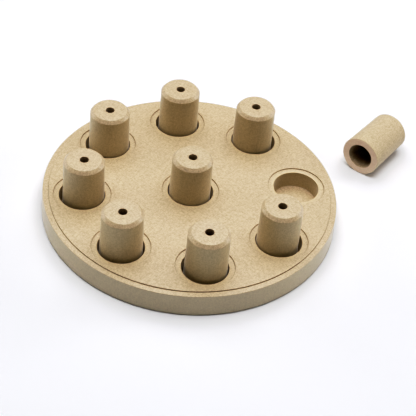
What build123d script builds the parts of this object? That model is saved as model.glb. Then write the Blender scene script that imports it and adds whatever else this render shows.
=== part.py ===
from build123d import *
import os
from math import cos, radians, sin, tan

# A dog's puzzle feeder: a round moulded board with nine wells, and a hollow cup for each well.
# A treat lies in a well under a cup, which has a small scent hole in its closed top.
# Eight cups stand in their wells and the ninth lies on the floor beside the board.
# Units are millimetres. The origin is on the floor under the middle of the board, +Z is up.

# ---- board: outside ----
BOARD_RADIUS = 125.0          # at the lower edge, its widest place
BOARD_HEIGHT = 20.6           # lower edge to the plateau
SIDE_DRAFT = 2.1              # degrees, the side leans in as it rises
RIM_BAND = 5.1                # width of the lowered band round the plateau
STEP_DEPTH = 0.95             # rim band and well recesses lie this far below the plateau
RIM_ROUND = 0.5               # top outer edge
LOWER_EDGE_CHAMFER = 0.4      # bottom outer edge

# ---- wells ----
WELL_COUNT = 8                # wells on the ring, one more is in the middle
RING_RADIUS = 91.45           # middle of the board to the middle of a ring well
RECESS_WIDTH = 4.9            # flat pressed ring round a well's mouth
WELL_FLOOR = 4.2              # thickness of a well's floor
WELL_DRAFT = 0.5              # degrees
MOUTH_CHAMFER = 0.35

# ---- board: moulded underside ----
PLATE_THICKNESS = 4.5
SKIRT_WALL = 5.0
WELL_WALL = 3.6
RIB_THICKNESS = 2.6
RIB_SETBACK = 2.0             # ribs stop this far above the lower edge
HOLLOW_DRAFT = 1.0            # degrees, inner face of the skirt
CORNER_CHAMFER = 1.2          # inside corner of skirt and plate

# ---- cups ----
CUP_LENGTH = 53.4
CUP_RADIUS = 17.7             # at the open end, its widest place
CUP_DRAFT = 0.85              # degrees, narrower towards the closed top
CUP_WALL = 6.5                # at the open end
CUP_CROWN = 6.0               # thickness of the closed top
SHOULDER_WIDTH = 2.5          # chamfer round the top, measured across
SHOULDER_HEIGHT = 2.95        # the same chamfer, measured up
SHOULDER_ROUND = 0.35
BORE_DRAFT = 0.5              # degrees, narrower towards the top
BORE_END_CHAMFER = 1.5
OPEN_END_CHAMFER = 0.4        # outer edge of the open end
SCENT_HOLE_RADIUS = 3.7
CUP_PLAY = 1.5                # radial room round a centred cup at the well's floor
SIDE_GAP = 0.3                # least room left beside a cup that has slid across its well

# ---- feet ----
FOOT_COUNT = 4
FOOT_RING_RADIUS = 106.0
FOOT_RADIUS = 6.0
FOOT_PROUD = 1.0              # how far a foot holds the board's lower edge off the floor
FOOT_CHAMFER = 0.6
FOOT_SUNK = 1.0               # depth of the foot's seat in its boss
FOOT_SEAT_GAP = 0.2           # radial, foot head in its seat
STEM_RADIUS = 2.5
STEM_LENGTH = 5.0
STEM_GAP = 0.05               # radial, stem in its hole
STEM_HOLE_EXTRA = 0.8         # the hole is this much deeper than the stem is long
BOSS_WALL = 2.4

# ---- the cup that has been taken out ----
LOOSE_CUP_X = 82.3            # middle of its open end
LOOSE_CUP_Y = 141.5

# How each seated cup has slid across its well: share of the free play, and heading in degrees.
# The ring wells are counted from +X round, and well 1, at 45 degrees, is the empty one.
CENTRE_SLIDE = (1, 277.5)
RING_SLIDES = {
    0: (1, 206.4),
    2: (1, 239.7),
    3: (0.4, 35.0),
    4: (0.88, 7.4),
    5: (1, 29.4),
    6: (0.14, 101.7),
    7: (0.55, 64.1),
}

# ---- sizes that follow from the ones above ----
LOWER_EDGE_Z = FOOT_PROUD
PLATEAU_Z = LOWER_EDGE_Z + BOARD_HEIGHT
STEP_Z = PLATEAU_Z - STEP_DEPTH
PLATE_UNDER_Z = STEP_Z - PLATE_THICKNESS
WELL_FLOOR_Z = LOWER_EDGE_Z + WELL_FLOOR
WELL_DEPTH = STEP_Z - WELL_FLOOR_Z
TOP_EDGE_RADIUS = BOARD_RADIUS - (STEP_Z - LOWER_EDGE_Z) * tan(radians(SIDE_DRAFT))
PLATEAU_RADIUS = TOP_EDGE_RADIUS - RIM_BAND
SKIRT_INNER_RADIUS = BOARD_RADIUS - SKIRT_WALL
WELL_FLOOR_RADIUS = CUP_RADIUS + CUP_PLAY
WELL_MOUTH_RADIUS = WELL_FLOOR_RADIUS + WELL_DEPTH * tan(radians(WELL_DRAFT))
RECESS_RADIUS = WELL_MOUTH_RADIUS + RECESS_WIDTH
SHOULDER_RADIUS = CUP_RADIUS - (CUP_LENGTH - SHOULDER_HEIGHT) * tan(radians(CUP_DRAFT))
CROWN_RADIUS = SHOULDER_RADIUS - SHOULDER_WIDTH
BORE_DEPTH = CUP_LENGTH - CUP_CROWN
BORE_RADIUS = CUP_RADIUS - CUP_WALL
BORE_END_RADIUS = BORE_RADIUS - BORE_DEPTH * tan(radians(BORE_DRAFT))
FOOT_SEAT_Z = LOWER_EDGE_Z + FOOT_SUNK
FOOT_SEAT_RADIUS = FOOT_RADIUS + FOOT_SEAT_GAP
BOSS_RADIUS = FOOT_SEAT_RADIUS + BOSS_WALL
WELL_STEP = 360.0 / WELL_COUNT
FOOT_STEP = 360.0 / FOOT_COUNT
OVERLAP = 1.0                 # how far a rib or wall runs into the one that carries it


def at_angle(radius, degrees):
    """The point of the floor plan at this radius and heading."""
    return Vector(radius * cos(radians(degrees)), radius * sin(radians(degrees)), 0)


def turned(outline):
    """A solid of revolution about +Z from a closed outline drawn in the XZ plane."""
    return revolve(make_face(outline), Axis.Z)


def nearest_circle(solid, radius, height):
    """The round edge about +Z that lies nearest to this radius and height."""
    return solid.edges().filter_by(GeomType.CIRCLE).sort_by(
        lambda edge: abs(edge.radius - radius) + abs(edge.center().Z - height))[0]


def well_places():
    """Middles of all wells: the middle one first, then the ring from +X round."""
    ring = [at_angle(RING_RADIUS, WELL_STEP * step) for step in range(WELL_COUNT)]
    return [Vector(0, 0, 0)] + ring


def foot_angles():
    """The feet stand half way between two ring wells."""
    return [WELL_STEP / 2 + FOOT_STEP * number for number in range(FOOT_COUNT)]


# ---------------------------------------------------------------- board

def board_blank():
    """The board's outside as if it were solid, with the lowered rim band; its top edge is rounded and its
    lower edge bevelled."""
    blank = turned(Polyline(
        (0, 0, LOWER_EDGE_Z),
        (BOARD_RADIUS, 0, LOWER_EDGE_Z),
        (TOP_EDGE_RADIUS, 0, STEP_Z),
        (PLATEAU_RADIUS, 0, STEP_Z),
        (PLATEAU_RADIUS, 0, PLATEAU_Z),
        (0, 0, PLATEAU_Z),
        close=True,
    ))
    blank = chamfer(nearest_circle(blank, BOARD_RADIUS, LOWER_EDGE_Z), LOWER_EDGE_CHAMFER)
    return fillet(nearest_circle(blank, TOP_EDGE_RADIUS, STEP_Z), RIM_ROUND)


def underside_space():
    """The hollow under the top plate and inside the skirt, before ribs and wells fill part of it."""
    rise = PLATE_UNDER_Z - LOWER_EDGE_Z
    upper_radius = SKIRT_INNER_RADIUS - rise * tan(radians(HOLLOW_DRAFT))
    space = turned(Polyline(
        (0, 0, LOWER_EDGE_Z),
        (SKIRT_INNER_RADIUS, 0, LOWER_EDGE_Z),
        (upper_radius, 0, PLATE_UNDER_Z),
        (0, 0, PLATE_UNDER_Z),
        close=True,
    ))
    return chamfer(nearest_circle(space, upper_radius, PLATE_UNDER_Z), CORNER_CHAMFER)


def well_wall():
    """The cup-shaped wall that hangs from the plate round one well, still solid inside."""
    rise = PLATE_UNDER_Z + OVERLAP - LOWER_EDGE_Z
    low = WELL_FLOOR_RADIUS + WELL_WALL
    high = low + rise * tan(radians(WELL_DRAFT))
    return Pos(0, 0, LOWER_EDGE_Z) * Cone(low, high, rise, align=(Align.CENTER, Align.CENTER, Align.MIN))


def well_hollow():
    """What is cut out for one well: drafted hole, chamfered mouth and the flat pressed ring."""
    chamfer_top = WELL_MOUTH_RADIUS + MOUTH_CHAMFER
    return turned(Polyline(
        (0, 0, WELL_FLOOR_Z),
        (WELL_FLOOR_RADIUS, 0, WELL_FLOOR_Z),
        (WELL_MOUTH_RADIUS - MOUTH_CHAMFER * tan(radians(WELL_DRAFT)), 0, STEP_Z - MOUTH_CHAMFER),
        (chamfer_top, 0, STEP_Z),
        (RECESS_RADIUS, 0, STEP_Z),
        (RECESS_RADIUS, 0, PLATEAU_Z + OVERLAP),
        (0, 0, PLATEAU_Z + OVERLAP),
        close=True,
    ))


def rib(start_radius, end_radius, degrees):
    """An upright web under the plate, along a radius of the board."""
    low = LOWER_EDGE_Z + RIB_SETBACK
    high = PLATE_UNDER_Z + OVERLAP
    length = end_radius - start_radius
    web = Box(length, RIB_THICKNESS, high - low, align=(Align.MIN, Align.CENTER, Align.MIN))
    return Rot(0, 0, degrees) * Pos(start_radius, 0, low) * web


def neighbour_rib(degrees):
    """A web across the gap between two neighbouring ring wells, at this heading."""
    low = LOWER_EDGE_Z + RIB_SETBACK
    high = PLATE_UNDER_Z + OVERLAP
    half_step = radians(WELL_STEP / 2)
    free = 2 * (RING_RADIUS * sin(half_step) - WELL_FLOOR_RADIUS)
    web = Box(RIB_THICKNESS, free, high - low, align=(Align.CENTER, Align.CENTER, Align.MIN))
    return Rot(0, 0, degrees) * Pos(RING_RADIUS * cos(half_step), 0, low) * web


def foot_boss(degrees):
    """A round boss under the plate that takes one foot."""
    boss = Cylinder(BOSS_RADIUS, PLATE_UNDER_Z + OVERLAP - LOWER_EDGE_Z,
                    align=(Align.CENTER, Align.CENTER, Align.MIN))
    return Pos(*at_angle(FOOT_RING_RADIUS, degrees)) * Pos(0, 0, LOWER_EDGE_Z) * boss


def foot_socket(degrees):
    """The seat for a foot's head and the blind hole for its stem."""
    up = (Align.CENTER, Align.CENTER, Align.MIN)
    seat = Pos(0, 0, LOWER_EDGE_Z - OVERLAP) * Cylinder(FOOT_SEAT_RADIUS, FOOT_SUNK + OVERLAP, align=up)
    hole = Pos(0, 0, FOOT_SEAT_Z) * Cylinder(STEM_RADIUS + STEM_GAP, STEM_LENGTH + STEM_HOLE_EXTRA, align=up)
    return Pos(*at_angle(FOOT_RING_RADIUS, degrees)) * (seat + hole)


def underside_structure():
    """Everything that hangs from the plate: well walls, ribs and foot bosses."""
    pieces = [Pos(*place) * well_wall() for place in well_places()]
    inner_end = RING_RADIUS - WELL_FLOOR_RADIUS
    for step in range(WELL_COUNT):
        pieces.append(rib(WELL_FLOOR_RADIUS, inner_end, WELL_STEP * step))
        pieces.append(rib(RING_RADIUS + WELL_FLOOR_RADIUS, BOARD_RADIUS - OVERLAP, WELL_STEP * step))
        between = WELL_STEP * (step + 0.5)
        pieces.append(neighbour_rib(between))
        pieces.append(rib(WELL_FLOOR_RADIUS, BOARD_RADIUS - OVERLAP, between))
    pieces += [foot_boss(angle) for angle in foot_angles()]
    return pieces


def make_board():
    """Top plate, skirt, wells, ribs and bosses, moulded in one piece."""
    space = underside_space()
    for piece in underside_structure():
        space -= piece
    board = board_blank() - space
    for place in well_places():
        board -= Pos(*place) * well_hollow()
    for angle in foot_angles():
        board -= foot_socket(angle)
    return board


# ---------------------------------------------------------------- cups and feet

def cup_outside():
    """The cup as if it were solid, with a bevelled shoulder that is rounded where it starts."""
    body = turned(Polyline(
        (0, 0, 0),
        (CUP_RADIUS, 0, 0),
        (SHOULDER_RADIUS, 0, CUP_LENGTH - SHOULDER_HEIGHT),
        (CROWN_RADIUS, 0, CUP_LENGTH),
        (0, 0, CUP_LENGTH),
        close=True,
    ))
    body = fillet(nearest_circle(body, SHOULDER_RADIUS, CUP_LENGTH - SHOULDER_HEIGHT), SHOULDER_ROUND)
    return chamfer(nearest_circle(body, CUP_RADIUS, 0), OPEN_END_CHAMFER)


def cup_bore():
    """What is cut out of a cup: the drafted bore, bevelled at its end, and the scent hole."""
    bore = turned(Polyline(
        (0, 0, 0),
        (BORE_RADIUS, 0, 0),
        (BORE_END_RADIUS, 0, BORE_DEPTH - BORE_END_CHAMFER),
        (BORE_END_RADIUS - BORE_END_CHAMFER, 0, BORE_DEPTH),
        (0, 0, BORE_DEPTH),
        close=True,
    ))
    hole = Cylinder(SCENT_HOLE_RADIUS, CUP_LENGTH + OVERLAP, align=(Align.CENTER, Align.CENTER, Align.MIN))
    return bore + hole


def make_cup():
    """One cup standing open end down on z = 0."""
    return cup_outside() - cup_bore()


def seated(cup, place, slide):
    """A cup on its well's floor, slid sideways by a share of the free play."""
    share, heading = slide
    shift = at_angle(share * (CUP_PLAY - SIDE_GAP), heading)
    return Pos(*(place + shift)) * Pos(0, 0, WELL_FLOOR_Z) * cup


def lying(cup):
    """A cup on its side on the floor, closed end towards +Y, resting on its drafted wall."""
    tilt = Rot(-90 - CUP_DRAFT, 0, 0)
    return Pos(LOOSE_CUP_X, LOOSE_CUP_Y, CUP_RADIUS * cos(radians(CUP_DRAFT))) * tilt * cup


def make_foot():
    """A rubber foot on the floor: flat head with a bevelled edge, and the stem that holds it."""
    head_height = FOOT_SEAT_Z
    head = Cylinder(FOOT_RADIUS, head_height, align=(Align.CENTER, Align.CENTER, Align.MIN))
    head = chamfer(nearest_circle(head, FOOT_RADIUS, 0), FOOT_CHAMFER)
    stem = Cylinder(STEM_RADIUS, STEM_LENGTH, align=(Align.CENTER, Align.CENTER, Align.MIN))
    return head + Pos(0, 0, head_height) * stem


def build_all():
    """Every piece of the feeder by its node name."""
    places = well_places()
    cup = make_cup()
    nodes = {"board": make_board(), "cup_centre": seated(cup, places[0], CENTRE_SLIDE)}
    for number, (step, slide) in enumerate(RING_SLIDES.items(), start=1):
        nodes[f"cup_{number}"] = seated(cup, places[1 + step], slide)
    nodes["cup_taken_out"] = lying(cup)
    for number, angle in enumerate(foot_angles(), start=1):
        nodes[f"foot_{number}"] = Pos(*at_angle(FOOT_RING_RADIUS, angle)) * make_foot()
    return nodes


os.makedirs("parts", exist_ok=True)
for name, solid in build_all().items():
    export_step(solid, f"parts/{name}.step")
    print(name, "volume", round(solid.volume / 1000, 2), "ml")
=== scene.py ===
from math import atan2, cos, pi, radians, sin, tan

import bmesh
import bpy
import numpy as np
from mathutils import Matrix, Vector


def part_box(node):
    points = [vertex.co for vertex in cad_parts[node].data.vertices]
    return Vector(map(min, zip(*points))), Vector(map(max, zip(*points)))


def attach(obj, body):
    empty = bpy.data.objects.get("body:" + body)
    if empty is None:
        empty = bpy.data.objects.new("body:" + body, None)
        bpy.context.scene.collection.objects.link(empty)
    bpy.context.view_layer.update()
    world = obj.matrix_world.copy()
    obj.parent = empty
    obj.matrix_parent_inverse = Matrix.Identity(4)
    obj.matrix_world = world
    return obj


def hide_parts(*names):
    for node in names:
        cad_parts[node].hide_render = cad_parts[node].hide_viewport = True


# The looks of a dog's puzzle feeder: a moulded wood-fibre board with nine wells, and nine hollow cups.
# Lengths are in metres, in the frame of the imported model: origin on the floor under the board's middle.

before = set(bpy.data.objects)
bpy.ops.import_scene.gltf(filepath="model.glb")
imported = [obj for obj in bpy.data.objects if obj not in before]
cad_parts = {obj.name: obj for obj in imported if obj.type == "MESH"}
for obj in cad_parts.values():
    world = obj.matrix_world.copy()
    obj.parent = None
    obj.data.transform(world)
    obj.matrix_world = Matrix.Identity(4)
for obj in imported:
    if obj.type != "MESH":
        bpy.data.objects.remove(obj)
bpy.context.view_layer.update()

MM = 0.001

# ---- sizes of the object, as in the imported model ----
LOWER_EDGE_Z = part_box("board")[0].z
PLATEAU_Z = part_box("board")[1].z
BOARD_RADIUS = 125.0 * MM
SIDE_DRAFT = tan(radians(2.1))
RIM_BAND = 5.1 * MM
STEP_DEPTH = 0.95 * MM        # rim band and pressed rings lie this far below the plateau
PLATE_THICKNESS = 4.5 * MM
STEP_Z = PLATEAU_Z - STEP_DEPTH
PLATE_UNDER_Z = STEP_Z - PLATE_THICKNESS
TOP_EDGE_RADIUS = BOARD_RADIUS - (STEP_Z - LOWER_EDGE_Z) * SIDE_DRAFT
PLATEAU_RADIUS = TOP_EDGE_RADIUS - RIM_BAND
SKIRT_WALL = 5.0 * MM
SKIRT_INNER_RADIUS = BOARD_RADIUS - SKIRT_WALL
SKIRT_DRAFT = tan(radians(1.0))

WELL_COUNT = 8
WELL_STEP = 2 * pi / WELL_COUNT
RING_RADIUS = 91.45 * MM
WELL_FLOOR = 4.2 * MM         # thickness of a well's floor
WELL_FLOOR_Z = LOWER_EDGE_Z + WELL_FLOOR
WELL_FLOOR_RADIUS = 19.2 * MM
WELL_WALL = 3.6 * MM
WELL_DRAFT = tan(radians(0.5))
WELL_MOUTH_RADIUS = WELL_FLOOR_RADIUS + (STEP_Z - WELL_FLOOR_Z) * WELL_DRAFT
RECESS_WIDTH = 4.9 * MM       # flat pressed ring round a well's mouth
RECESS_RADIUS = WELL_MOUTH_RADIUS + RECESS_WIDTH

CUP_LENGTH = 53.4 * MM
CUP_RADIUS = 17.7 * MM
CUP_DRAFT_ANGLE = radians(0.85)
SHOULDER_HEIGHT = 2.95 * MM
SHOULDER_WIDTH = 2.5 * MM
CUP_CROWN = 6.0 * MM          # thickness of the closed top
CUP_WALL = 6.5 * MM           # at the open end
SHOULDER_RADIUS = CUP_RADIUS - (CUP_LENGTH - SHOULDER_HEIGHT) * tan(CUP_DRAFT_ANGLE)
CROWN_RADIUS = SHOULDER_RADIUS - SHOULDER_WIDTH
BORE_DEPTH = CUP_LENGTH - CUP_CROWN
BORE_RADIUS = CUP_RADIUS - CUP_WALL
BORE_DRAFT = tan(radians(0.5))
BORE_END_RADIUS = BORE_RADIUS - BORE_DEPTH * BORE_DRAFT
SCENT_HOLE_RADIUS = 3.7 * MM

FOOT_RING_RADIUS = 106.0 * MM
FOOT_RADIUS = 6.0 * MM
FOOT_SUNK = 1.0 * MM          # depth of a foot's seat in its boss
FOOT_HEAD = LOWER_EDGE_Z + FOOT_SUNK
FOOT_SEAT_GAP = 0.2 * MM
STEM_RADIUS = 2.5 * MM
STEM_LENGTH = 5.0 * MM
STEM_GAP = 0.05 * MM
STEM_HOLE_EXTRA = 0.8 * MM    # the blind hole is this much deeper than the stem is long
BOSS_MARGIN = 2.6 * MM        # a boss is this much wider than its foot, all round
BOSS_RADIUS = FOOT_RADIUS + BOSS_MARGIN
RIB_THICKNESS = 2.6 * MM
RIB_SETBACK = 2.0 * MM        # the ribs stop this far above the board's lower edge

SEATED_CUPS = ["cup_centre"] + [f"cup_{number}" for number in range(1, 8)]
LOOSE_CUP = "cup_taken_out"
LOOSE_CUP_X = 82.3 * MM       # middle of the open end of the cup that has been taken out
LOOSE_CUP_Y = 141.5 * MM
FEET = [f"foot_{number}" for number in range(1, 5)]

# ---- how the surfaces run into one another ----
SUNK = 0.3 * MM               # how far a web or boss runs into what carries it
BOSS_OVERLAP = 1.0 * MM       # how far a rib runs into a boss
LEAN = 0.05 * MM              # a low step's wall leans by this much
FLARE = 1.2 * MM              # flat run past a corner, for its round to land on
UNDER_FLARE = 2.0 * MM        # the same beside a well's wall under the plate
FIELD_INSET = 0.6 * MM
FIELD_RADIUS = PLATEAU_RADIUS - FIELD_INSET    # the flat fields above and below the plate end here
FIELD_INNER_RADIUS = 45 * MM  # and the middle well's own field ends here

# ---- rounds of the corners ----
STEP_EDGE_ROUND = 0.15 * MM   # upper edge of a low step
STEP_FOOT_ROUND = 0.08 * MM
WELL_FLOOR_ROUND = 0.8 * MM
MOUTH_ROUND = 0.3 * MM
RIM_ROUND = 0.35 * MM
OUTER_EDGE_ROUND = 0.3 * MM   # lower edge of the board, outside
INNER_EDGE_ROUND = 0.4 * MM   # lower edge of the board, inside
SKIRT_ROOT_ROUND = 1.5 * MM   # inside corner of skirt and plate
WELL_EDGE_ROUND = 0.5 * MM    # lower edge of a well's wall
WELL_ROOT_ROUND = 1.0 * MM    # where it meets the plate
RIB_EDGE_ROUND = 0.5 * MM     # lower edge of a rib or boss
RIB_ROOT_ROUND = 0.9 * MM     # where a rib or boss meets the plate
SEAT_CORNER_ROUND = 0.2 * MM  # inside corner of a foot's seat
SEAT_EDGE_ROUND = 0.3 * MM
BORE_END_ROUND = 2.0 * MM     # inside corner of a cup's bore
SCENT_HOLE_ROUND = 0.3 * MM
CROWN_ROUND = 0.9 * MM
SHOULDER_ROUND = 0.15 * MM
OPEN_OUTER_ROUND = 0.4 * MM   # open end of a cup, outside
OPEN_INNER_ROUND = 0.5 * MM   # open end of a cup, inside
FOOT_ROUND = 0.7 * MM         # edge of a rubber foot, on the floor
FOOT_HEAD_ROUND = 0.2 * MM
STEM_END_ROUND = 0.4 * MM

# ---- where the surface is worn, and where shade, light and reflection are painted on it ----
CLOSE = 0.1 * MM              # a point this close to a surface counts as on it
LINE_WIDTH = 0.75 * MM        # painted shade, a dark line, keeps this close to the foot of a low step
LINE_CATCH = 0.2 * MM         # points this close to the step's radius belong to its foot
# painted shade: full at the foot of a low step, and weaker down a well's wall
STEP_FOOT_SHADE = 1.0
WELL_SHADE = 0.45           # painted shade at a well's mouth
WELL_SHADE_FALL = 0.75      # the share of it that is gone at the well's floor
WELL_FOOT = 0.7 * MM          # a well's drawn wall starts this far above the floor
MOUTH_WORN = 0.6              # rubbed pale at the mouth of a well
MOUTH_WORN_DEPTH = 0.5 * MM   # down the well's wall
MOUTH_WORN_REACH = 0.4 * MM   # out over the pressed ring
FOOT_LIGHT_HEIGHT = 9.0 * MM        # painted light lightens the foot of the cup's wall up to here
FOOT_LIGHT_GAIN = 1.3               # above 1, so that the last 2 mm take the painted light fully
BORE_SHADE = 0.45           # painted shade at the bore's open end; it grows to 1 on the way in
SCENT_HOLE_FADE = 4.0 * MM    # depth over which the scent hole's painted shade grows full
CROWN_UNDER = 0.5 * MM        # above the bore's end by this much, a point is in the crown
OPEN_END_HEIGHT = 0.05 * MM   # below this a point is on the ring that the cup stands on
UNSEATED_GREY = 0.3           # greyness of the wall of a cup that takes none of the seated cups' look
LOOSE_SEATED_LOOK = 0.15           # the cup that lies out takes little of the seated cups' look

# ---- colours, linear ----
TAN_YELLOW = (0.563, 0.443, 0.286)
TAN_PINK = (0.575, 0.450, 0.294)
GRAIN_DARK = (0.16, 0.11, 0.055)
GRAIN_LIGHT = (0.95, 0.79, 0.53)
# painted shade: a tint multiplied into the upright walls, for the greener colour of their shade
WALL_SHADE_TINT = (0.965, 1.01, 0.93)
FIBRE_TINTS = (               # kind of fleck, share of the colour at its middle, colour
    ("Dark", 0.45, (0.24, 0.16, 0.08)),
    ("Light", 0.38, (0.88, 0.71, 0.46)),
)
MARK_TINTS = (                # mark, share of the colour at a full mark, colour
    # grey: painted reflection of the white floor on the board's outer wall; on a cup, a greyer wall
    ("greyed", 0.3, (0.60, 0.56, 0.49)),
    # pale tan: real wear at the wells' mouths, and painted light on the cups' feet, lifting their shade
    ("worn_and_painted_light", 0.5, (0.88, 0.70, 0.43)),
    # pinker as the open end's own colour, and lighter as painted light on the end face
    ("open_end", 0.65, (0.87, 0.69, 0.57)),
    # dark brown painted shade: at the foot of a low step, in the wells, the bores and the scent holes
    ("painted_shade", 0.5, (0.07, 0.045, 0.02)),
)
RUBBER_DARK = (0.018, 0.017, 0.016)
RUBBER_BLOOM = (0.045, 0.043, 0.04)
FLOOR_WHITE = (0.86, 0.86, 0.865)
FLOOR_GLOW = (0.86, 0.93, 1.0)

# ---- sizes of the patterns, in cells per metre ----
CLOUD_CELLS = 28.0
GRAIN_CELLS = 620.0
FIBRE_CELLS = 260.0           # along a fibre; five times as many across it
COARSE_TOOTH_CELLS = 700.0
FINE_TOOTH_CELLS = 2600.0
BLOOM_CELLS = 160.0

# ---- strengths of the finishes ----
NOISE_SPAN = (0.3, 0.7)       # most of a noise's values lie between these
DARK_GRAIN_SHARE = 0.18
LIGHT_GRAIN_SHARE = 0.13
DRAWN_TEXTURE = 0.6           # strength left to the texture on a drawn wall
SKIN_ROUGHNESS = (0.40, 0.56)
DULL_ROUGHNESS = 0.45         # added to it where a surface is fully dull
RUBBER_ROUGHNESS = (0.55, 0.75)

# ---- how finely the surfaces are cut ----
ARC_STEPS = 6                 # segments in a rounded corner
SECTOR_RAYS = (24, 34, 6)     # over a sector's outer arc, its side and its inner arc
CUP_SEGMENTS = 128
FOOT_SEGMENTS = 64
SHARP_ANGLE = radians(40)     # a fold steeper than this is shaded as an edge
MERGE_DISTANCE = 1e-6         # points closer than this are one
FLAT_DISTANCE = 1e-7          # an edge shorter than this is dissolved
ON_CIRCLE = 1e-7              # a point this close to a circle lies on it
SMALLEST_SINE = 1e-6          # keeps a division away from nothing
ANGLE_SLACK = 1e-9


# ================================================================ profiles and meshes

def rounded(points, radii):
    """A profile through the points, each inner corner replaced by an arc of its radius.

    The arc touches both runs: it starts before the corner by its radius times the tangent of half
    the turn, and its centre lies on the corner's bisector. A radius of 0 keeps the corner sharp.
    """
    points = np.asarray(points, float)
    out = [points[:1]]
    for before, corner, after, radius in zip(points[:-2], points[1:-1], points[2:], radii):
        if radius <= 0:
            out.append(corner[None])
            continue
        a = (before - corner) / np.linalg.norm(before - corner)
        b = (after - corner) / np.linalg.norm(after - corner)
        half = np.arccos(np.clip(a @ b, -1, 1)) / 2
        middle = corner + (a + b) / np.linalg.norm(a + b) * radius / np.sin(half)
        start = corner + a * radius / np.tan(half) - middle
        end = corner + b * radius / np.tan(half) - middle
        share = np.linspace(0, 1, ARC_STEPS + 1)[:, None]
        turn = np.pi - 2 * half
        arc = (np.sin((1 - share) * turn) * start + np.sin(share * turn) * end) / np.sin(turn)
        out.append(middle + arc)
    out.append(points[-1:])
    return np.concatenate(out)


def grid_quads(rows, columns, closed):
    """Corner numbers of the quads of a grid of points, row by row.

    Closed joins the last column to the first.
    """
    column = np.arange(columns if closed else columns - 1)
    row = np.arange(rows - 1)[:, None]
    after = (column + 1) % columns
    return np.stack([row * columns + column, row * columns + after,
                     (row + 1) * columns + after, (row + 1) * columns + column], -1).reshape(-1, 4)


def make_piece(name, patches, caps=(), marks=None):
    """One mesh object from grids of points. Equal points are merged and the faces turned outwards.

    Each patch is (points as rows x columns x 3, closed). A cap is a ring of points filled by one face.
    Marks are named rules that give each point a number from 0 to 1, for the materials to read.
    """
    vertices, quads, start = [], [], 0
    for points, closed in patches:
        rows, columns = points.shape[:2]
        vertices.append(points.reshape(-1, 3))
        quads.append(grid_quads(rows, columns, closed) + start)
        start += rows * columns
    corners = np.concatenate(quads)
    faces = corners.tolist()
    for ring in caps:
        vertices.append(ring)
        faces.append(list(range(start, start + len(ring))))
        start += len(ring)
    mesh = bpy.data.meshes.new(name)
    mesh.from_pydata(np.concatenate(vertices), [], faces)
    obj = bpy.data.objects.new(name, mesh)
    bpy.context.scene.collection.objects.link(obj)
    weld(mesh)
    points = np.array([vertex.co for vertex in mesh.vertices])
    for mark, rule in (marks or {}).items():
        values = mesh.attributes.new(mark, "FLOAT", "POINT").data
        values.foreach_set("value", rule(points).astype(np.float32))
    return obj


def weld(mesh):
    """Merges equal points, drops flat faces, turns the rest outwards and shades them by angle."""
    work = bmesh.new()
    work.from_mesh(mesh)
    bmesh.ops.remove_doubles(work, verts=work.verts, dist=MERGE_DISTANCE)
    bmesh.ops.dissolve_degenerate(work, edges=work.edges, dist=FLAT_DISTANCE)
    bmesh.ops.recalc_face_normals(work, faces=work.faces)
    work.to_mesh(mesh)
    work.free()
    mesh.shade_smooth()
    mesh.set_sharp_from_angle(angle=SHARP_ANGLE)


def polar(radius, angle):
    """A point of the floor plan from its radius and heading."""
    return radius * cos(angle), radius * sin(angle)


def round_about(profile, angles, centre=(0, 0)):
    """A profile of (radius, height) rows turned about an upright axis.

    Each row keeps its height; x is the centre's x plus the radius times the cosine of the angle,
    and y is the centre's y plus the radius times its sine.
    """
    radius, height = profile[:, :1], profile[:, 1:]
    x = centre[0] + radius * np.cos(angles)
    y = centre[1] + radius * np.sin(angles)
    return np.stack([x, y, np.broadcast_to(height, x.shape)], -1)


def full_turn(segments):
    """Evenly spaced angles of a whole circle, without the repeated last one."""
    return np.linspace(0, 2 * np.pi, segments, endpoint=False)


def moved(points, place=(0, 0, 0), turn=None):
    """Points turned by a matrix and carried to a place."""
    flat = points if turn is None else points @ np.array(turn).T
    return flat + np.array(place)


# ================================================================ board

def sector_rays():
    """Headings from a ring well's middle, and where each ray leaves the well's sector of the board.

    The sector is bounded by an outer and an inner circle about the board's axis and by the two radii
    half way to the neighbouring wells. The corners of the sector are rays themselves, so that
    neighbouring sectors share every boundary point. Headings count from the outward radius.
    """
    half = WELL_STEP / 2

    def corner(radius):
        return atan2(radius * sin(half), radius * cos(half) - RING_RADIUS)

    def circle_hit(radius):
        inside = np.clip(radius ** 2 - (RING_RADIUS * y) ** 2, 0, None)
        return -RING_RADIUS * x + np.where(radius > RING_RADIUS, 1, -1) * np.sqrt(inside)

    outer, inner = corner(FIELD_RADIUS), corner(FIELD_INNER_RADIUS)
    spans = zip((0, outer, inner), (outer, inner, pi), SECTOR_RAYS)
    upper = np.concatenate([np.linspace(a, b, n, endpoint=False) for a, b, n in spans] + [[pi]])
    heading = np.concatenate([upper, -upper[-2:0:-1]])
    x, y = np.cos(heading), np.sin(heading)
    side = RING_RADIUS * sin(half) / np.maximum(np.sin(np.abs(heading) - half), SMALLEST_SINE)
    past_outer = np.where(np.abs(heading) < inner - ANGLE_SLACK, side, circle_hit(FIELD_INNER_RADIUS))
    reach = np.where(np.abs(heading) <= outer + ANGLE_SLACK, circle_hit(FIELD_RADIUS), past_outer)
    return heading, reach


def well_patch(profile, step, level):
    """One ring well with the part of the board round it.

    The profile is turned about the well's axis, and a last row of points runs out flat to the edge
    of the well's sector.
    """
    heading, reach = sector_rays()
    turn = step * WELL_STEP
    middle = polar(RING_RADIUS, turn)
    rows = round_about(profile, heading + turn, middle)
    x = middle[0] + reach * np.cos(heading + turn)
    y = middle[1] + reach * np.sin(heading + turn)
    edge = np.stack([x, y, np.full(len(heading), level)], -1)
    return np.concatenate([rows, edge[None]])


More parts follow.
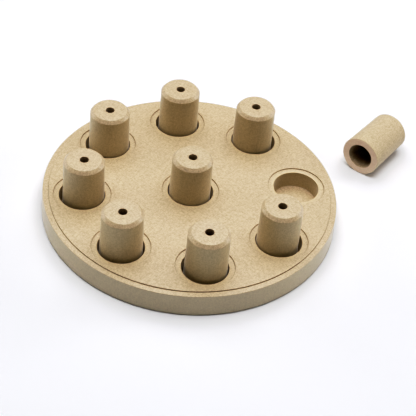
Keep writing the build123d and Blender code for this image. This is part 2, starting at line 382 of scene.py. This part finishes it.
def sector_edge_angles(radius):
    """Headings from the board's axis to the boundary points of all sectors on one circle."""
    heading, reach = sector_rays()
    x, y = RING_RADIUS + reach * np.cos(heading), reach * np.sin(heading)
    on_circle = np.abs(np.hypot(x, y) - radius) < ON_CIRCLE
    local = np.unique(np.round(np.arctan2(y, x)[on_circle], 9))[:-1]
    return (np.arange(WELL_COUNT)[:, None] * WELL_STEP + local).ravel()


def board_face(well_profile, level):
    """One side of the board inside FIELD_RADIUS: eight ring wells and the middle one, edge to edge."""
    middle = np.concatenate([well_profile, [[FIELD_INNER_RADIUS, level]]])
    patches = [well_patch(well_profile, step, level) for step in range(WELL_COUNT)]
    patches.append(round_about(middle, sector_edge_angles(FIELD_INNER_RADIUS)))
    return [(points, True) for points in patches]


def to_nearest_well(x, y):
    """Level distance from each point to the axis of the nearest well."""
    step = np.round(np.arctan2(y, x) / WELL_STEP) * WELL_STEP
    to_ring = np.hypot(x - RING_RADIUS * np.cos(step), y - RING_RADIUS * np.sin(step))
    return np.minimum(to_ring, np.hypot(x, y))


def board_painted_shade(points):
    """Painted shade on the board: most at the foot of a low step, then in the wells.

    Down a well's wall it falls evenly from mouth to floor, and it is nothing in the floor's middle.
    """
    x, y, z = points.T
    from_axis = np.hypot(x, y)
    to_well = to_nearest_well(x, y)
    depth = np.clip((STEP_Z - z) / (STEP_Z - WELL_FLOOR_Z), 0, 1)
    in_well = (to_well < WELL_MOUTH_RADIUS + CLOSE) & (z > WELL_FLOOR_Z - CLOSE)
    wall = in_well & (to_well > WELL_FLOOR_RADIUS / 2)
    well = np.where(wall, WELL_SHADE * (1 - WELL_SHADE_FALL * depth), 0)
    low = np.abs(z - STEP_Z) < CLOSE
    by_recess = np.abs(to_well - RECESS_RADIUS) < LINE_CATCH
    by_rim = np.abs(from_axis - PLATEAU_RADIUS) < LINE_CATCH
    return np.where(low & (by_recess | by_rim), STEP_FOOT_SHADE, well)


def board_painted_reflection(points):
    """The outer wall of the board, a little greyer than the rest: painted reflection of the white floor.
    """
    return (np.hypot(points[:, 0], points[:, 1]) > TOP_EDGE_RADIUS).astype(float)


def board_drawn_and_shade_tint(points):
    """The outer wall and the wells' walls, slid out of the mould: less texture and a painted shade tint.
    """
    x, y, z = points.T
    well = (z > WELL_FLOOR_Z + WELL_FOOT) & (z < STEP_Z - CLOSE)
    return (board_painted_reflection(points) > 0) | (well & (to_nearest_well(x, y) < WELL_MOUTH_RADIUS))


def board_worn(points):
    """The mouths of the wells, where the cups rub: evenly over the rounded edge, nothing beyond."""
    x, y, z = points.T
    near = to_nearest_well(x, y) < WELL_MOUTH_RADIUS + MOUTH_WORN_REACH
    return MOUTH_WORN * ((z > STEP_Z - MOUTH_WORN_DEPTH) & near)


def board_shell():
    """The board's plate, skirt and wells as one closed surface, without ribs and bosses."""
    # A point a line's width from each low step's foot bounds the painted shade line there.
    top_well = rounded([
        (0, WELL_FLOOR_Z), (WELL_FLOOR_RADIUS, WELL_FLOOR_Z), (WELL_MOUTH_RADIUS, STEP_Z),
        (RECESS_RADIUS - LINE_WIDTH, STEP_Z), (RECESS_RADIUS, STEP_Z), (RECESS_RADIUS + LEAN, PLATEAU_Z),
        (RECESS_RADIUS + FLARE, PLATEAU_Z),
    ], [WELL_FLOOR_ROUND, MOUTH_ROUND, 0, STEP_FOOT_ROUND, STEP_EDGE_ROUND])
    rise = PLATE_UNDER_Z - LOWER_EDGE_Z
    low = WELL_FLOOR_RADIUS + WELL_WALL
    high = low + rise * WELL_DRAFT
    under_well = rounded([
        (0, LOWER_EDGE_Z), (low, LOWER_EDGE_Z), (high, PLATE_UNDER_Z),
        (high + UNDER_FLARE, PLATE_UNDER_Z),
    ], [WELL_EDGE_ROUND, WELL_ROOT_ROUND])
    skirt_top = SKIRT_INNER_RADIUS - rise * SKIRT_DRAFT
    rim = rounded([
        (FIELD_RADIUS, PLATEAU_Z), (PLATEAU_RADIUS, PLATEAU_Z), (PLATEAU_RADIUS + LEAN, STEP_Z),
        (PLATEAU_RADIUS + LINE_WIDTH, STEP_Z), (TOP_EDGE_RADIUS, STEP_Z), (BOARD_RADIUS, LOWER_EDGE_Z),
        (SKIRT_INNER_RADIUS, LOWER_EDGE_Z), (skirt_top, PLATE_UNDER_Z), (FIELD_RADIUS, PLATE_UNDER_Z),
    ], [STEP_EDGE_ROUND, STEP_FOOT_ROUND, 0, RIM_ROUND, OUTER_EDGE_ROUND, INNER_EDGE_ROUND,
        SKIRT_ROOT_ROUND])
    patches = board_face(top_well, PLATEAU_Z) + board_face(under_well, PLATE_UNDER_Z)
    patches.append((round_about(rim, sector_edge_angles(FIELD_RADIUS)), True))
    return make_piece("board_moulding", patches, marks={
        "painted_shade": board_painted_shade, "drawn_and_shade_tint": board_drawn_and_shade_tint, "greyed": board_painted_reflection, "worn_and_painted_light": board_worn})


def web(start, end):
    """An upright rib under the plate between two points of the floor plan, as (points, caps).

    Its section is drafted, rounded along the lower edge and flared where it meets the plate, and it
    is carried straight along the line from start to end.
    """
    start, end = np.array(start), np.array(end)
    low, high = LOWER_EDGE_Z + RIB_SETBACK, PLATE_UNDER_Z
    half = RIB_THICKNESS / 2
    top = half + (high - low) * WELL_DRAFT
    side = rounded([(0, low), (half, low), (top, high), (top + FLARE, high)],
                   [RIB_EDGE_ROUND, RIB_ROOT_ROUND])
    side = np.concatenate([side, [[side[-1, 0], high + SUNK]]])
    section = np.concatenate([side, side[:0:-1] * (-1, 1)])
    along = (end - start) / np.linalg.norm(end - start)
    across = np.array([-along[1], along[0]])
    flat = section[:, :1] * across
    ends = [np.concatenate([flat + point, section[:, 1:]], -1) for point in (start, end)]
    return np.stack(ends), ends


def board_ribs():
    """All ribs, in four sets.

    They run from the middle well out to each ring well, on from there to the skirt, between
    neighbouring wells, and along the radii half way between them, broken where a foot's boss stands.
    """
    inner = WELL_FLOOR_RADIUS + WELL_WALL / 2
    skirt = SKIRT_INNER_RADIUS + SUNK
    boss = BOSS_RADIUS - BOSS_OVERLAP
    lines = []
    for step in range(WELL_COUNT):
        turn, between = WELL_STEP * step, WELL_STEP * (step + 0.5)
        lines += [(turn, inner, RING_RADIUS - inner), (turn, RING_RADIUS + inner, skirt)]
        if step % 2:
            lines.append((between, inner, skirt))
        else:
            lines += [(between, inner, FOOT_RING_RADIUS - boss),
                      (between, FOOT_RING_RADIUS + boss, skirt)]
    spans = [(polar(near, turn), polar(far, turn)) for turn, near, far in lines]
    for step in range(WELL_COUNT):
        here = np.array(polar(RING_RADIUS, WELL_STEP * step))
        there = np.array(polar(RING_RADIUS, WELL_STEP * (step + 1)))
        inset = (there - here) / np.linalg.norm(there - here) * inner
        spans.append((here + inset, there - inset))
    webs = [web(*span) for span in spans]
    return make_piece("board_ribs", [(points, True) for points, _ in webs],
                      caps=[cap for _, ends in webs for cap in ends])


def foot_places():
    """Middles of the four feet, half way between two ring wells."""
    return [polar(FOOT_RING_RADIUS, WELL_STEP * (0.5 + 2 * number)) for number in range(len(FEET))]


def foot_bosses():
    """The round bosses that hold the feet, each with its seat and the blind hole for the stem."""
    hole, seat = STEM_RADIUS + STEM_GAP, FOOT_RADIUS + FOOT_SEAT_GAP
    hole_end = FOOT_HEAD + STEM_LENGTH + STEM_HOLE_EXTRA
    flare = BOSS_RADIUS + FLARE
    profile = rounded([
        (0, hole_end), (hole, hole_end), (hole, FOOT_HEAD), (seat, FOOT_HEAD), (seat, LOWER_EDGE_Z),
        (BOSS_RADIUS, LOWER_EDGE_Z), (BOSS_RADIUS, PLATE_UNDER_Z), (flare, PLATE_UNDER_Z),
        (flare, PLATE_UNDER_Z + SUNK), (0, PLATE_UNDER_Z + SUNK),
    ], [0, 0, SEAT_CORNER_ROUND, SEAT_EDGE_ROUND, RIB_EDGE_ROUND, RIB_ROOT_ROUND, 0, 0])
    angles = full_turn(FOOT_SEGMENTS)
    return make_piece("foot_bosses", [(round_about(profile, angles, place), True)
                                      for place in foot_places()])


# ================================================================ cups and feet

def cup_profile():
    """The cup's wall in section as a closed line of (radius, height), open end at height 0.

    Two points on its outside carry the painted light of the foot: they lie on the drafted wall itself.
    """
    waist = ((BORE_RADIUS + BORE_END_RADIUS) / 2, BORE_DEPTH / 2)
    worn_and_painted_light = [(CUP_RADIUS - height * tan(CUP_DRAFT_ANGLE), height)
            for height in (FOOT_LIGHT_HEIGHT, FOOT_LIGHT_HEIGHT / 4)]
    return rounded([
        waist, (BORE_END_RADIUS, BORE_DEPTH), (SCENT_HOLE_RADIUS, BORE_DEPTH),
        (SCENT_HOLE_RADIUS, CUP_LENGTH), (CROWN_RADIUS, CUP_LENGTH),
        (SHOULDER_RADIUS, CUP_LENGTH - SHOULDER_HEIGHT), *worn_and_painted_light, (CUP_RADIUS, 0), (BORE_RADIUS, 0), waist,
    ], [BORE_END_ROUND, SCENT_HOLE_ROUND, SCENT_HOLE_ROUND, CROWN_ROUND, SHOULDER_ROUND, 0, 0,
        OPEN_OUTER_ROUND, OPEN_INNER_ROUND])


def make_cup(name, place, turn=None, seated_look=1.0):
    """A cup turned about its axis from its profile, then laid or stood in its place.

    Marks are set in the cup's own frame: painted shade grows into the bore and the scent hole, the
    open end's mark is the flat ring that the cup stands on, the wall that slid out of the mould takes
    less texture and a painted tint of shade, and that wall's foot takes painted light against the shade
    in the well. The last two are as strong as the cup's share of the seated cups' look, and a cup with
    less of it is greyer and duller instead.
    """
    def own_frame(points):
        own = points - np.array(place)
        return own if turn is None else own @ np.array(turn)

    # painted shade, growing into the bore and the scent hole
    def painted_shade(points):
        x, y, height = own_frame(points).T
        radius = np.hypot(x, y)
        down_bore = np.clip(BORE_SHADE + height / BORE_DEPTH, 0, 1)
        down_hole = np.clip((CUP_LENGTH - height) / SCENT_HOLE_FADE, 0, 1)
        bore = np.where(radius < BORE_RADIUS + CLOSE, down_bore, 0)
        hole = np.where(radius < SCENT_HOLE_RADIUS + CLOSE, down_hole, 0)
        return np.where(height > BORE_DEPTH + CROWN_UNDER, hole, bore)

    # the open end's ring, tinted pinker as its own colour and lighter as painted light
    def open_end(points):
        return (own_frame(points)[:, 2] < OPEN_END_HEIGHT).astype(float)

    # less texture, and a painted tint of shade, on the wall that slid out of the mould
    def drawn_and_shade_tint(points):
        x, y, _ = own_frame(points).T
        return seated_look * (np.hypot(x, y) > SHOULDER_RADIUS)

    # painted light on the wall's foot, lifting the shade that falls there in the well
    def worn_and_painted_light(points):
        height = own_frame(points)[:, 2]
        return drawn_and_shade_tint(points) * np.clip(FOOT_LIGHT_GAIN * (1 - height / FOOT_LIGHT_HEIGHT), 0, 1)

    def greyed(points):
        x, y, _ = own_frame(points).T
        return UNSEATED_GREY * (1 - seated_look) * (np.hypot(x, y) > CROWN_RADIUS)

    def dull(points):
        return np.full(len(points), 1 - seated_look)

    points = round_about(cup_profile(), full_turn(CUP_SEGMENTS))
    return make_piece(name, [(moved(points, place, turn), True)], marks={
        "painted_shade": painted_shade, "open_end": open_end, "drawn_and_shade_tint": drawn_and_shade_tint, "worn_and_painted_light": worn_and_painted_light,
        "greyed": greyed, "dull": dull})


def make_foot(name, place):
    """A rubber foot: flat head with a rounded edge on the floor, and the stem in its boss."""
    profile = rounded([
        (0, 0), (FOOT_RADIUS, 0), (FOOT_RADIUS, FOOT_HEAD), (STEM_RADIUS, FOOT_HEAD),
        (STEM_RADIUS, FOOT_HEAD + STEM_LENGTH), (0, FOOT_HEAD + STEM_LENGTH),
    ], [FOOT_ROUND, FOOT_HEAD_ROUND, 0, STEM_END_ROUND])
    return make_piece(name, [(round_about(profile, full_turn(FOOT_SEGMENTS), place), True)])


# ================================================================ materials

def node_group(name, inputs, outputs):
    """An empty shader node group with named number or colour sockets: (name, kind, default)."""
    tree = bpy.data.node_groups.new(name, "ShaderNodeTree")
    for socket, kind, default in inputs:
        tree.interface.new_socket(socket, in_out="INPUT", socket_type=kind).default_value = default
    for socket, kind in outputs:
        tree.interface.new_socket(socket, in_out="OUTPUT", socket_type=kind)
    return tree, tree.nodes.new("NodeGroupInput"), tree.nodes.new("NodeGroupOutput")


def noise(tree, vector, scale, detail=2.0, rough=0.5):
    """A noise texture on this vector; scale is in cells per metre."""
    node = tree.nodes.new("ShaderNodeTexNoise")
    node.inputs["Scale"].default_value = scale
    node.inputs["Detail"].default_value = detail
    node.inputs["Roughness"].default_value = rough
    tree.links.new(vector, node.inputs["Vector"])
    return node.outputs["Fac"]


def stretch(tree, vector, scale, turn):
    """The same coordinates turned and scaled unevenly, so that a noise on them draws streaks."""
    node = tree.nodes.new("ShaderNodeMapping")
    node.inputs["Rotation"].default_value = turn
    node.inputs["Scale"].default_value = scale
    tree.links.new(vector, node.inputs["Vector"])
    return node.outputs["Vector"]


def ramp(tree, value, low, high, to_low=0.0, to_high=1.0):
    """Maps a value from low..high to to_low..to_high, clamped, with a smooth step."""
    node = tree.nodes.new("ShaderNodeMapRange")
    node.interpolation_type = "SMOOTHSTEP"
    limits = {"From Min": low, "From Max": high, "To Min": to_low, "To Max": to_high}
    for socket, number in limits.items():
        node.inputs[socket].default_value = number
    tree.links.new(value, node.inputs["Value"])
    return node.outputs["Result"]


def maths(tree, operation, first, second):
    """One arithmetic step on two values, each a socket or a number."""
    node = tree.nodes.new("ShaderNodeMath")
    node.operation = operation
    for socket, value in zip(node.inputs, (first, second)):
        if isinstance(value, (int, float)):
            socket.default_value = value
        else:
            tree.links.new(value, socket)
    return node.outputs[0]


def blend_colour(tree, amount, first, second, mode="MIX"):
    """Two colours mixed by an amount; each is a socket or an RGB triple."""
    node = tree.nodes.new("ShaderNodeMix")
    node.data_type = "RGBA"
    node.blend_type = mode
    first_colour, second_colour = node.inputs[6], node.inputs[7]
    pairs = ((node.inputs["Factor"], amount), (first_colour, first), (second_colour, second))
    for socket, value in pairs:
        if isinstance(value, tuple):
            socket.default_value = (*value, 1)
        elif isinstance(value, (int, float)):
            socket.default_value = value
        else:
            tree.links.new(value, socket)
    return node.outputs[2]


def marked(tree, name):
    """The number that a mesh stores under this name, 0 where it stores none."""
    node = tree.nodes.new("ShaderNodeAttribute")
    node.attribute_name = name
    return node.outputs["Fac"]


def object_coordinates(tree):
    """Coordinates in metres that stay with the piece."""
    return tree.nodes.new("ShaderNodeTexCoord").outputs["Object"]


def resized(tree, factor):
    """Object coordinates times a factor given by a socket."""
    node = tree.nodes.new("ShaderNodeVectorMath")
    node.operation = "SCALE"
    tree.links.new(object_coordinates(tree), node.inputs[0])
    tree.links.new(factor, node.inputs["Scale"])
    return node.outputs[0]


def fibre_flecks():
    """Short fibres lying every way: three sets of streaks, dark where a noise dips, light at its peaks.

    Each set has its own turn and is left long along one axis of its own.
    """
    tree, given, result = node_group(
        "fibre_flecks",
        [("Size", "NodeSocketFloat", 1.0), ("Share", "NodeSocketFloat", 0.5)],
        [("Dark", "NodeSocketFloat"), ("Light", "NodeSocketFloat")])
    place = resized(tree, given.outputs["Size"])
    lays = (((0.3, 0.2, 0.5), (1, 5, 5)), ((0.4, 0.9, 2.1), (5, 1, 5)), ((1.0, 0.1, 1.2), (5, 5, 1)))
    dark = light = None
    for turn, scale in lays:
        streaks = noise(tree, stretch(tree, place, scale, turn), FIBRE_CELLS, detail=1.0)
        above = ramp(tree, streaks, 0.60, 0.70)
        below = ramp(tree, streaks, 0.40, 0.30)
        dark = below if dark is None else maths(tree, "MAXIMUM", dark, below)
        light = above if light is None else maths(tree, "MAXIMUM", light, above)
    tree.links.new(maths(tree, "MULTIPLY", dark, given.outputs["Share"]), result.inputs["Dark"])
    tree.links.new(maths(tree, "MULTIPLY", light, given.outputs["Share"]), result.inputs["Light"])
    return tree


def surface_grain():
    """Fine tooth of a matte moulded surface: a height, and a mask of the same grain for roughness."""
    tree, given, result = node_group(
        "surface_grain", [("Scale", "NodeSocketFloat", 1.0)],
        [("Height", "NodeSocketFloat"), ("Grain", "NodeSocketFloat")])
    place = resized(tree, given.outputs["Scale"])
    coarse = noise(tree, place, COARSE_TOOTH_CELLS, detail=3.0)
    fine = noise(tree, place, FINE_TOOTH_CELLS, detail=2.0)
    height = maths(tree, "ADD", maths(tree, "MULTIPLY", coarse, 0.6), maths(tree, "MULTIPLY", fine, 0.4))
    tree.links.new(height, result.inputs["Height"])
    tree.links.new(fine, result.inputs["Grain"])
    return tree


def placed(tree, group, **values):
    """A node group set into a tree with its own input values."""
    node = tree.nodes.new("ShaderNodeGroup")
    node.node_tree = group
    for name, value in values.items():
        node.inputs[name].default_value = value
    return node


def shader_of(name):
    """A new material with its node tree and Principled shader."""
    material = bpy.data.materials.new(name)
    material.use_nodes = True
    return material, material.node_tree, material.node_tree.nodes["Principled BSDF"]


def add_bump(tree, shader, height, strength, distance):
    """Feeds a height to the shader's normal."""
    bump = tree.nodes.new("ShaderNodeBump")
    bump.inputs["Strength"].default_value = strength
    bump.inputs["Distance"].default_value = distance
    tree.links.new(height, bump.inputs["Height"])
    tree.links.new(bump.outputs["Normal"], shader.inputs["Normal"])


def fibre_composite(flecks, grain):
    """Tan wood-fibre composite: two tans in soft clouds, grain, dark and light fibres, matte skin.

    Texture is the strength of grain, fibres and tooth, weaker on walls that slid out of the mould,
    which also take a painted tint of shade. The marks then tint the colour one after the other: grey
    that is painted reflection on the board's outer wall, real wear and painted light, the open end's
    tint, which is partly painted light, and painted shade.
    """
    material, tree, shader = shader_of("fibre_composite")

    def toward(body, amount, share, colour):
        return blend_colour(tree, maths(tree, "MULTIPLY", amount, share), body, colour)

    place = object_coordinates(tree)
    clouds = ramp(tree, noise(tree, place, CLOUD_CELLS, detail=4.0), 0.35, 0.65)
    body = blend_colour(tree, clouds, TAN_YELLOW, TAN_PINK)
    texture = ramp(tree, marked(tree, "drawn_and_shade_tint"), 0.0, 1.0, 1.0, DRAWN_TEXTURE)
    grains = ramp(tree, noise(tree, place, GRAIN_CELLS, detail=3.0, rough=0.6), *NOISE_SPAN)
    darker = toward(body, texture, DARK_GRAIN_SHARE, GRAIN_DARK)
    lighter = toward(body, texture, LIGHT_GRAIN_SHARE, GRAIN_LIGHT)
    body = blend_colour(tree, grains, darker, lighter)
    fibres = placed(tree, flecks, Size=1.0, Share=0.6)
    for kind, share, colour in FIBRE_TINTS:
        body = toward(body, maths(tree, "MULTIPLY", fibres.outputs[kind], texture), share, colour)
    # painted shade: the upright walls take a tint of the colour of their shade
    body = blend_colour(tree, marked(tree, "drawn_and_shade_tint"), body, WALL_SHADE_TINT, "MULTIPLY")
    for mark, share, colour in MARK_TINTS:
        body = toward(body, marked(tree, mark), share, colour)
    tree.links.new(body, shader.inputs["Base Color"])
    skin = placed(tree, grain, Scale=1.0)
    matte = ramp(tree, skin.outputs["Grain"], *NOISE_SPAN, *SKIN_ROUGHNESS)
    added = maths(tree, "MULTIPLY", marked(tree, "dull"), DULL_ROUGHNESS)
    tree.links.new(maths(tree, "ADD", matte, added), shader.inputs["Roughness"])
    shader.inputs["Specular IOR Level"].default_value = 0.9
    shader.inputs["Sheen Weight"].default_value = 0.36
    shader.inputs["Sheen Roughness"].default_value = 0.35
    tooth = maths(tree, "MULTIPLY", skin.outputs["Height"], texture)
    add_bump(tree, shader, tooth, strength=0.35, distance=0.25 * MM)
    return material


def foot_rubber(grain):
    """Dark grey rubber with a faint bloom."""
    material, tree, shader = shader_of("foot_rubber")
    bloom = ramp(tree, noise(tree, object_coordinates(tree), BLOOM_CELLS, detail=4.0), 0.35, 0.7)
    tree.links.new(blend_colour(tree, bloom, RUBBER_DARK, RUBBER_BLOOM), shader.inputs["Base Color"])
    skin = placed(tree, grain, Scale=1.4)
    matte = ramp(tree, skin.outputs["Grain"], *NOISE_SPAN, *RUBBER_ROUGHNESS)
    tree.links.new(matte, shader.inputs["Roughness"])
    add_bump(tree, shader, skin.outputs["Height"], strength=0.25, distance=0.2 * MM)
    return material


# ================================================================ the whole object

def stand_in(piece, node, body, material):
    """Puts a piece in the place of a hidden CAD node: it rides on the body and wears the material."""
    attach(piece, body)
    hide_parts(node)
    piece.data.materials.append(material)


def build_feeder():
    """Every visible piece of the feeder, each in the place of its CAD node.

    The loose cup lies on its drafted wall, so its axis dips towards the closed end by that draft.
    """
    grain = surface_grain()
    composite = fibre_composite(fibre_flecks(), grain)
    rubber = foot_rubber(grain)
    for piece in (board_shell(), board_ribs(), foot_bosses()):
        stand_in(piece, "board", "board_body", composite)
    for name in SEATED_CUPS:
        low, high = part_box(name)
        cup = make_cup(f"{name}_shell", ((low.x + high.x) / 2, (low.y + high.y) / 2, low.z))
        stand_in(cup, name, f"{name}_body", composite)
    lying = Matrix.Rotation(-pi / 2 - CUP_DRAFT_ANGLE, 3, "X")
    open_end_middle = (LOOSE_CUP_X, LOOSE_CUP_Y, CUP_RADIUS * cos(CUP_DRAFT_ANGLE))
    # the loose cup takes little painted shade tint and painted foot light, and is greyer and duller
    loose = make_cup(f"{LOOSE_CUP}_shell", open_end_middle, lying, seated_look=LOOSE_SEATED_LOOK)
    stand_in(loose, LOOSE_CUP, f"{LOOSE_CUP}_body", composite)
    for name, place in zip(FEET, foot_places()):
        stand_in(make_foot(f"{name}_rubber", place), name, "board_body", rubber)


# ================================================================ camera, floor and light

VIEW_AZIMUTH = radians(32.854)
VIEW_ELEVATION = radians(42.0)
VIEW_ROLL = radians(6.277)
VIEW_DISTANCE = 1.107
VIEW_TARGET = Vector((0.01306, 0.00997, 0.00201))
LENS = 111.84                 # mm
SENSOR_WIDTH = 36             # mm
FLOOR_HALF = 4.0              # half the side of the floor
COOL = (1.0, 1.0, 1.03)       # colour of the soft boxes' light
SURROUND = 0.015              # strength of the even light from all round

# Each soft box: name, how far away, right and up it stands as seen by the camera, side, power.
SOFT_BOXES = (
    ("overhead", 0.35, 0.0, 1.5, 1.8, 26.6),
    ("front_top", -0.3, 0.0, 1.5, 0.6, 6.4),
    ("left_side", 0.45, -1.6, 0.45, 0.8, 6.7),
    ("right_side", 0.6, 1.5, 0.45, 0.6, 7.3),
)

# The tone curve: linear light as given and as shown.
DEEP_SHADE = (
    (0.03, 0.003), (0.066, 0.017), (0.10, 0.036), (0.134, 0.058), (0.2, 0.114), (0.25, 0.165),
    (0.3, 0.225), (0.345, 0.285), (0.45, 0.43), (0.7, 0.705), (0.85, 0.81), (0.93, 0.91), (1.0, 1.0),
)

# Level headings as the camera sees them.
AWAY = Vector((-sin(VIEW_AZIMUTH), cos(VIEW_AZIMUTH), 0))
RIGHT = Vector((cos(VIEW_AZIMUTH), sin(VIEW_AZIMUTH), 0))


def add_camera():
    """The camera looks down at the board from the front, a little rolled."""
    level = cos(VIEW_ELEVATION)
    backward = Vector((-AWAY.x * level, -AWAY.y * level, sin(VIEW_ELEVATION)))
    level_up = backward.cross(RIGHT)
    right = RIGHT * cos(VIEW_ROLL) + level_up * sin(VIEW_ROLL)
    up = level_up * cos(VIEW_ROLL) - RIGHT * sin(VIEW_ROLL)
    data = bpy.data.cameras.new("camera")
    data.lens, data.sensor_width = LENS, SENSOR_WIDTH
    camera = bpy.data.objects.new("camera", data)
    place = Matrix.Translation(VIEW_TARGET + backward * VIEW_DISTANCE)
    camera.matrix_world = place @ Matrix((right, up, backward)).transposed().to_4x4()
    bpy.context.scene.collection.objects.link(camera)
    bpy.context.scene.camera = camera


def add_floor():
    """A plain white floor that runs well past the view."""
    mesh = bpy.data.meshes.new("floor")
    corners = [(x * FLOOR_HALF, y * FLOOR_HALF, 0) for x, y in ((-1, -1), (1, -1), (1, 1), (-1, 1))]
    mesh.from_pydata(corners, [], [(0, 1, 2, 3)])
    floor = bpy.data.objects.new("floor", mesh)
    bpy.context.scene.collection.objects.link(floor)
    material, _, shader = shader_of("floor_white")
    shader.inputs["Base Color"].default_value = (*FLOOR_WHITE, 1)
    shader.inputs["Emission Color"].default_value = (*FLOOR_GLOW, 1)
    shader.inputs["Emission Strength"].default_value = 0.02
    shader.inputs["Roughness"].default_value = 0.9
    shader.inputs["Specular IOR Level"].default_value = 0.1
    mesh.materials.append(material)


def add_light(name, away, right, height, size, power):
    """A square soft box at a place given as seen by the camera, turned to the board's middle."""
    data = bpy.data.lights.new(name, "AREA")
    data.size, data.energy, data.color = size, power, COOL
    light = bpy.data.objects.new(name, data)
    place = AWAY * away + RIGHT * right + Vector((0, 0, height))
    light.matrix_world = Matrix.Translation(place) @ place.to_track_quat("Z", "Y").to_matrix().to_4x4()
    bpy.context.scene.collection.objects.link(light)


def add_lights():
    """The soft boxes and a dim even surround.

    One wide box hangs overhead and a little behind, a small one overhead in front, and two weak
    ones stand at the sides.
    """
    for box in SOFT_BOXES:
        add_light(*box)
    world = bpy.data.worlds.new("studio")
    world.use_nodes = True
    surround = world.node_tree.nodes["Background"]
    surround.inputs["Color"].default_value = (1, 1, 1, 1)
    surround.inputs["Strength"].default_value = SURROUND
    bpy.context.scene.world = world


def set_view():
    """Plain display of linear light, so that the white floor stays white, with deeper shade."""
    view = bpy.context.scene.view_settings
    view.view_transform = "Standard"
    view.look = "None"
    view.exposure = 0.0
    view.use_curve_mapping = True
    tone = view.curve_mapping.curves[3]
    for given, shown in DEEP_SHADE:
        tone.points.new(given, shown)
    view.curve_mapping.update()


add_camera()
build_feeder()
add_floor()
add_lights()
set_view()
